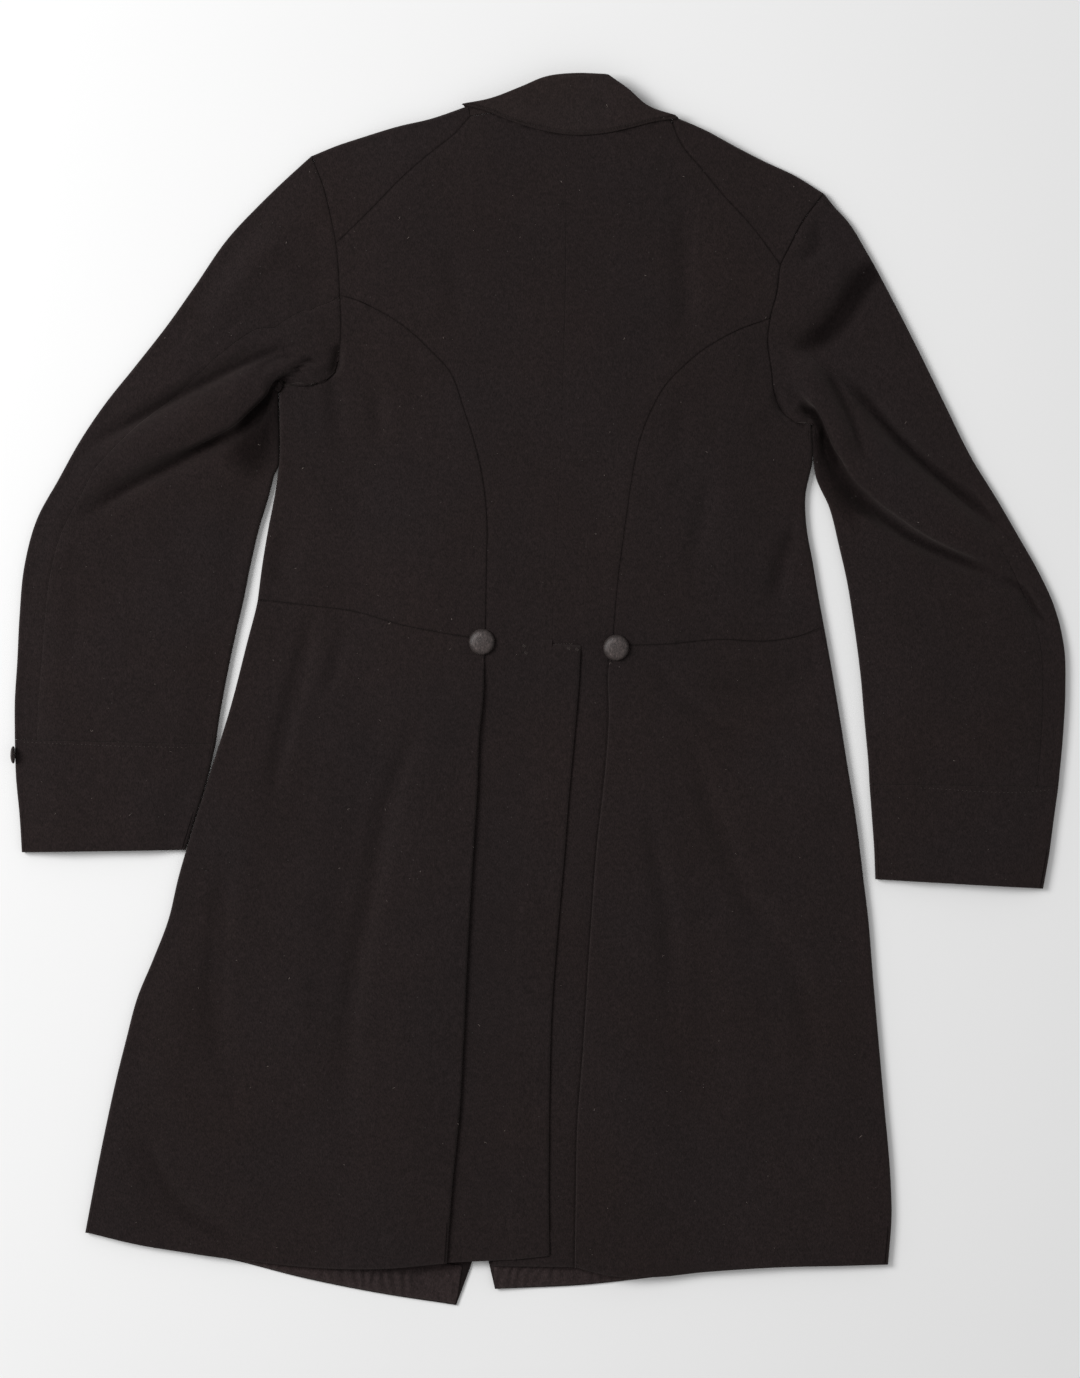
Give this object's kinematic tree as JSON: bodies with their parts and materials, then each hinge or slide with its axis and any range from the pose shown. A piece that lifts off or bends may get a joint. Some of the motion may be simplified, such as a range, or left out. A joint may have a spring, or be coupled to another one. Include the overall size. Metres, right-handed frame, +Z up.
{
  "type": "double-breasted coat",
  "caption": "Long double-breasted wool coat laid face down, with turned collar, waist seam, rear pleats, vented tails, curved sleeves and covered buttons.",
  "frame": {"origin": "middle of the base of the coat's box, on the surface that it lies on", "axes": "+Z up from the surface towards the coat's back, +Y along the coat towards its collar, +X across it; the coat lies face down, so its own left sleeve is at -X"},
  "size_m": [0.8968, 1.0484, 0.0218],
  "materials": {
    "wool": "matt woven wool, near black",
    "collar_wool": "matt woven wool, near black",
    "button_cloth": "fine woven cover, dark grey-brown"
  },
  "bodies": {
    "root": {"back_left": "wool", "back_right": "wool", "side_left": "wool", "side_right": "wool", "forepart_left": "wool", "forepart_right": "wool", "skirt_left": "wool", "skirt_right": "wool", "sleeve_top_left": "wool", "sleeve_top_right": "wool", "sleeve_under_left": "wool", "sleeve_under_right": "wool", "cuff_left": "wool", "cuff_right": "wool", "lapel_left": "wool", "lapel_right": "wool", "collar": "collar_wool", "collar_leaf_left": "collar_wool", "collar_leaf_right": "collar_wool", "back_button_left": "button_cloth", "back_button_right": "button_cloth", "front_button_left_1": "button_cloth", "front_button_left_2": "button_cloth", "front_button_left_3": "button_cloth", "front_button_right_1": "button_cloth", "front_button_right_2": "button_cloth", "front_button_right_3": "button_cloth", "cuff_button_left": "button_cloth"}
  },
  "joints": []
}
